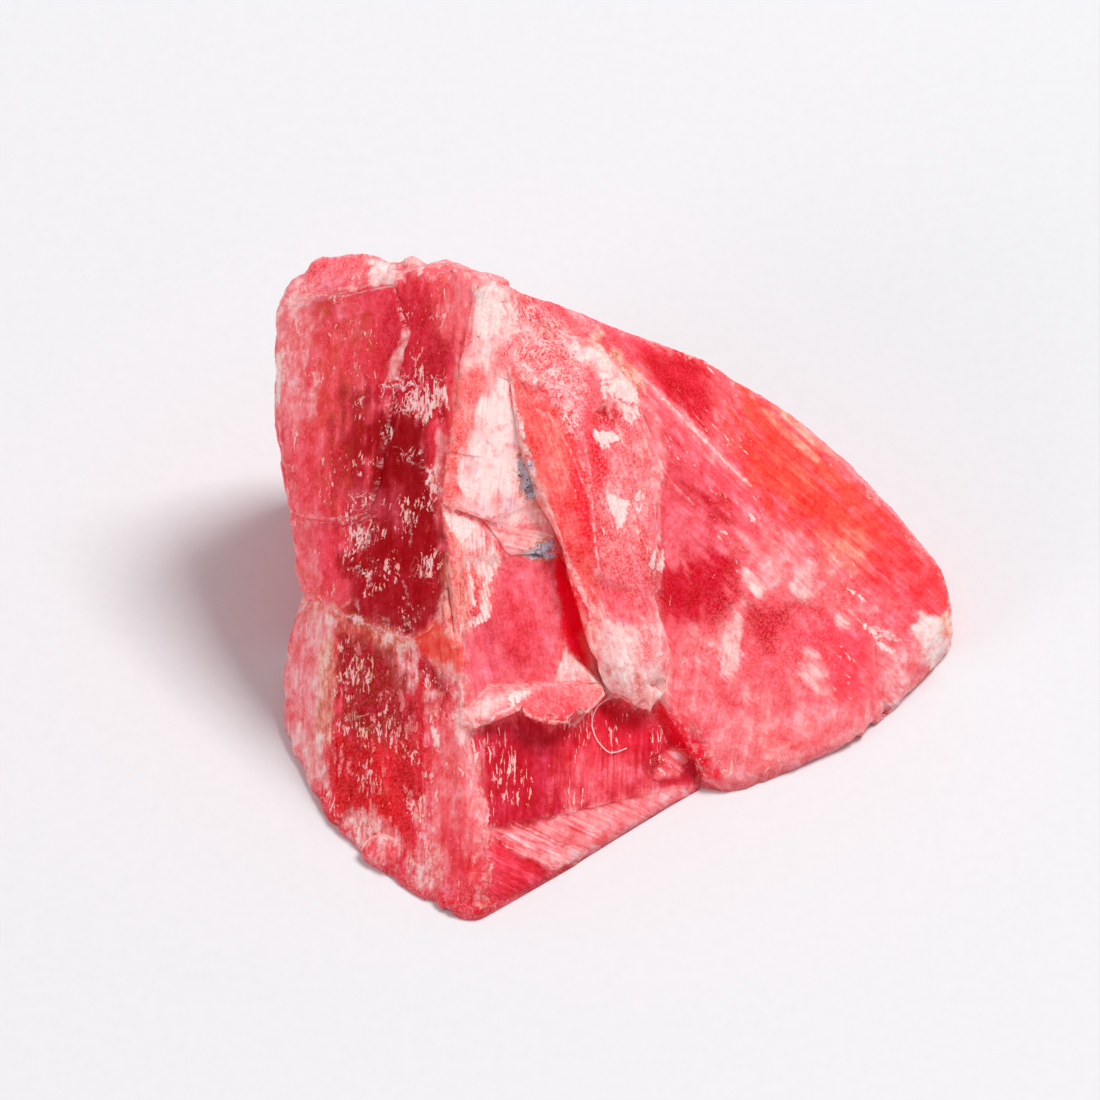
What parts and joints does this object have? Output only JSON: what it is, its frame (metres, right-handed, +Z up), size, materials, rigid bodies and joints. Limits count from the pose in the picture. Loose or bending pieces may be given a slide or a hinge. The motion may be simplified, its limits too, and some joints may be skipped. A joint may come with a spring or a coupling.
{
  "type": "rough rhodonite",
  "caption": "Rough raspberry-red mineral broken along its cleavage planes: a leaning wedge with a dark striated left face, pale recessed facets, a proud slab and a broad sloping right face.",
  "frame": {"origin": "middle of the stone's outline on the surface that it rests on", "axes": "+Z up from the resting face; -Y towards the front foot, where the long ridge comes down; +X towards the blunt right end"},
  "size_m": [0.0204, 0.0196, 0.0131],
  "materials": {
    "rhodonite": "rough cleavage faces, translucent raspberry red with pale flecks and veins"
  },
  "bodies": {
    "root": {"stone": "rhodonite"}
  },
  "joints": []
}
